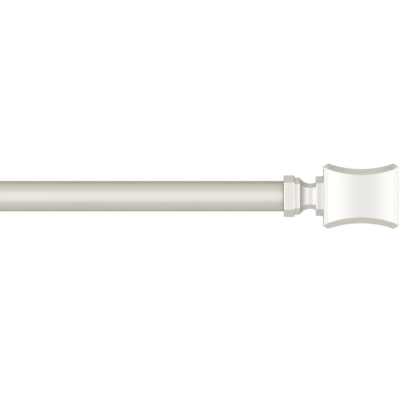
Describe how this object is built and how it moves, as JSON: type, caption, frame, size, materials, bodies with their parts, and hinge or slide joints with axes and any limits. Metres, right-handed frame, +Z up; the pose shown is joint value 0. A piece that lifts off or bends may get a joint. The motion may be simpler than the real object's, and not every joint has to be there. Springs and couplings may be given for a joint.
{
  "type": "curtain rod",
  "caption": "Telescoping round curtain rod with square waisted finials, held in open cradles on wall brackets with pull-out arms and thumb screws.",
  "frame": {"origin": "middle of the right bracket's wall face", "axes": "+X along the rod to the right finial, +Y into the wall, +Z up"},
  "size_m": [0.9008, 0.1118, 0.07],
  "materials": {
    "satin_nickel_tube": "satin nickel on drawn steel tube",
    "satin_nickel_casting": "satin nickel on die-cast zinc",
    "satin_nickel_resin": "satin nickel metallic coat on cast resin",
    "bright_steel": "zinc plated steel",
    "grey_nylon": "moulded nylon"
  },
  "bodies": {
    "wall_brackets": {"right_wall_plate": "satin_nickel_casting", "left_wall_plate": "satin_nickel_casting"},
    "rod": {"outer_tube": "satin_nickel_tube", "glide_sleeve": "grey_nylon", "outer_end_plug": "grey_nylon"},
    "inner_rod": {"inner_tube": "satin_nickel_tube", "guide_plug": "grey_nylon", "inner_end_plug": "grey_nylon"},
    "right_stud": {"right_finial_stud": "bright_steel"},
    "right_finial": {"right_finial": "satin_nickel_resin"},
    "left_stud": {"left_finial_stud": "bright_steel"},
    "left_finial": {"left_finial": "satin_nickel_resin"},
    "right_arm": {"right_arm": "satin_nickel_casting", "right_cradle": "satin_nickel_casting", "right_cradle_pin": "bright_steel"},
    "right_arm_screw_shank": {"right_arm_screw_shank": "bright_steel"},
    "right_arm_screw_knob": {"right_arm_screw_knob": "satin_nickel_casting"},
    "right_rod_screw_shank": {"right_rod_screw_shank": "bright_steel"},
    "right_rod_screw_knob": {"right_rod_screw_knob": "satin_nickel_casting"},
    "left_arm": {"left_arm": "satin_nickel_casting", "left_cradle": "satin_nickel_casting", "left_cradle_pin": "bright_steel"},
    "left_arm_screw_shank": {"left_arm_screw_shank": "bright_steel"},
    "left_arm_screw_knob": {"left_arm_screw_knob": "satin_nickel_casting"},
    "left_rod_screw_shank": {"left_rod_screw_shank": "bright_steel"},
    "left_rod_screw_knob": {"left_rod_screw_knob": "satin_nickel_casting"}
  },
  "joints": [
    {"name": "right_arm_slide", "type": "slide", "parent": "wall_brackets", "child": "right_arm", "axis": [0, -1, 0], "range_m": [0, 0.025]},
    {"name": "right_arm_screw_travel", "type": "slide", "parent": "wall_brackets", "child": "right_arm_screw_shank", "axis": [0, 0, -1], "range_m": [0, 0.004]},
    {"name": "right_arm_screw_turn", "type": "hinge", "parent": "right_arm_screw_shank", "child": "right_arm_screw_knob", "pos_m": [0, -0.042, 0], "axis": [0, 0, -1], "range_deg": [0, 1800]},
    {"name": "right_rod_screw_travel", "type": "slide", "parent": "right_arm", "child": "right_rod_screw_shank", "axis": [0, -1, 0], "range_m": [0, 0.004]},
    {"name": "right_rod_screw_turn", "type": "hinge", "parent": "right_rod_screw_shank", "child": "right_rod_screw_knob", "pos_m": [0, -0.085, 0], "axis": [0, -1, 0], "range_deg": [0, 1800]},
    {"name": "left_arm_slide", "type": "slide", "parent": "wall_brackets", "child": "left_arm", "axis": [0, -1, 0], "range_m": [0, 0.025]},
    {"name": "left_arm_screw_travel", "type": "slide", "parent": "wall_brackets", "child": "left_arm_screw_shank", "axis": [0, 0, -1], "range_m": [0, 0.004]},
    {"name": "left_arm_screw_turn", "type": "hinge", "parent": "left_arm_screw_shank", "child": "left_arm_screw_knob", "pos_m": [-0.435, -0.042, 0], "axis": [0, 0, -1], "range_deg": [0, 1800]},
    {"name": "left_rod_screw_travel", "type": "slide", "parent": "left_arm", "child": "left_rod_screw_shank", "axis": [0, -1, 0], "range_m": [0, 0.004]},
    {"name": "left_rod_screw_turn", "type": "hinge", "parent": "left_rod_screw_shank", "child": "left_rod_screw_knob", "pos_m": [-0.435, -0.085, 0], "axis": [0, -1, 0], "range_deg": [0, 1800]},
    {"name": "rod_lift", "type": "slide", "parent": "right_arm", "child": "rod", "axis": [0, 0, 1], "range_m": [0, 0.05]},
    {"name": "telescope", "type": "slide", "parent": "rod", "child": "inner_rod", "axis": [-1, 0, 0], "range_m": [-0.069, 0.439]},
    {"name": "right_finial_travel", "type": "slide", "parent": "rod", "child": "right_stud", "axis": [1, 0, 0], "range_m": [0, 0.01]},
    {"name": "right_finial_turn", "type": "hinge", "parent": "right_stud", "child": "right_finial", "pos_m": [0.185, -0.085, 0], "axis": [1, 0, 0], "range_deg": [0, 3600]},
    {"name": "left_finial_travel", "type": "slide", "parent": "inner_rod", "child": "left_stud", "axis": [-1, 0, 0], "range_m": [0, 0.01]},
    {"name": "left_finial_turn", "type": "hinge", "parent": "left_stud", "child": "left_finial", "pos_m": [-0.595, -0.085, 0], "axis": [-1, 0, 0], "range_deg": [0, 3600]}
  ],
  "couplings": [
    {"joint": "right_arm_screw_turn", "follows": "right_arm_screw_travel", "rad_per_m": 7854},
    {"joint": "right_rod_screw_turn", "follows": "right_rod_screw_travel", "rad_per_m": 7854},
    {"joint": "left_arm_screw_turn", "follows": "left_arm_screw_travel", "rad_per_m": 7854},
    {"joint": "left_rod_screw_turn", "follows": "left_rod_screw_travel", "rad_per_m": 7854},
    {"joint": "left_arm_slide", "follows": "right_arm_slide", "ratio": 1},
    {"joint": "right_finial_turn", "follows": "right_finial_travel", "rad_per_m": 6283.2},
    {"joint": "left_finial_turn", "follows": "left_finial_travel", "rad_per_m": 6283.2}
  ]
}
